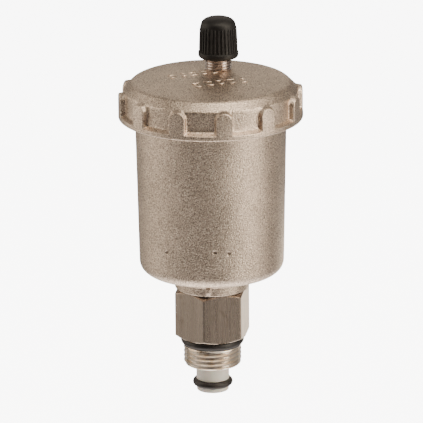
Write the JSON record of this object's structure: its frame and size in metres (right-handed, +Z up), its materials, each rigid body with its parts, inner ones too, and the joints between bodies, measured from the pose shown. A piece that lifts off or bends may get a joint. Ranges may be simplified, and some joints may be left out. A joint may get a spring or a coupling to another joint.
{
  "type": "automatic air vent",
  "caption": "Float-operated automatic air vent: cast casing and lugged screw cover, side vent nozzle with dust cap, and a shut-off valve with male inlet thread and spring plunger.",
  "frame": {"origin": "on the main axis, at the hexagon's lower shoulder, where the vent comes down on the pipe boss", "axes": "+Z up along the casing's axis; +Y from the main axis towards the vent nozzle"},
  "size_m": [0.0528, 0.0528, 0.1099],
  "materials": {
    "cast_nickel": "cast brass, nickel plated and blasted, fine grain",
    "turned_nickel": "turned brass, nickel plated, satin",
    "bright_thread": "cut thread, bright nickel over brass",
    "black_rubber": "moulded nitrile rubber, satin",
    "black_plastic": "ribbed black cap, satin",
    "white_plastic": "moulded white acetal",
    "float_plastic": "moulded polypropylene",
    "fibre": "pressed fibre gasket",
    "stamped_brass": "stamped and turned brass, bare",
    "spring_steel": "drawn stainless wire"
  },
  "bodies": {
    "shutoff": {"shutoff_valve_body": "turned_nickel", "inlet_seal_ring": "black_rubber", "plunger_spring": "spring_steel"},
    "plunger": {"shutoff_plunger": "white_plastic", "plunger_seal_ring": "black_rubber"},
    "joint_ring": {"joint_gasket": "fibre"},
    "vent": {"casing": "cast_nickel", "cover": "cast_nickel", "cover_seal": "fibre", "vent_nozzle": "bright_thread", "nozzle_washer": "fibre", "lever_bracket": "stamped_brass", "bracket_screws": "spring_steel", "pivot_pin": "spring_steel", "valve_spring": "spring_steel"},
    "float": {"float_shell": "float_plastic", "float_base": "float_plastic", "float_yoke": "stamped_brass", "link_pin": "spring_steel"},
    "lever": {"lever": "stamped_brass"},
    "valve": {"valve_stem": "float_plastic", "stem_pin": "spring_steel", "valve_pad": "black_rubber"},
    "cap_disc": {"cap_seal": "black_rubber"},
    "cap": {"dust_cap": "black_plastic"}
  },
  "joints": [
    {"name": "vent_lift", "type": "slide", "parent": "shutoff", "child": "joint_ring", "axis": [0, 0, 1], "range_m": [0, 0.00535]},
    {"name": "vent_turn", "type": "hinge", "parent": "joint_ring", "child": "vent", "pos_m": [0, 0, 0.0143], "axis": [0, 0, 1], "range_deg": [0, 1440]},
    {"name": "plunger_slide", "type": "slide", "parent": "shutoff", "child": "plunger", "axis": [0, 0, 1], "range_m": [0, 0.00535], "deforming": ["plunger_spring"]},
    {"name": "float_rise", "type": "slide", "parent": "vent", "child": "float", "axis": [0, 0, 1], "range_m": [0, 0.0036]},
    {"name": "lever_swing", "type": "hinge", "parent": "vent", "child": "lever", "pos_m": [0, 0.01075, 0.0655], "axis": [-1, 0, 0], "range_deg": [0, 19.02]},
    {"name": "valve_slide", "type": "slide", "parent": "vent", "child": "valve", "axis": [0, 0, 1], "range_m": [0, 0.00151], "deforming": ["valve_spring"]},
    {"name": "cap_lift", "type": "slide", "parent": "vent", "child": "cap_disc", "axis": [0, 0, 1], "range_m": [0, 0.00635]},
    {"name": "cap_turn", "type": "hinge", "parent": "cap_disc", "child": "cap", "pos_m": [0, 0.00625, 0.0814], "axis": [0, 0, 1], "range_deg": [0, 2880]}
  ],
  "couplings": [
    {"joint": "vent_lift", "follows": "vent_turn", "m_per_rad": 0.00021279},
    {"joint": "plunger_slide", "follows": "vent_turn", "m_per_rad": 0.00021279},
    {"joint": "lever_swing", "follows": "float_rise", "rad_per_m": 92.168},
    {"joint": "valve_slide", "follows": "float_rise", "ratio": 0.4186},
    {"joint": "cap_turn", "follows": "cap_lift", "rad_per_m": 7913.3}
  ]
}
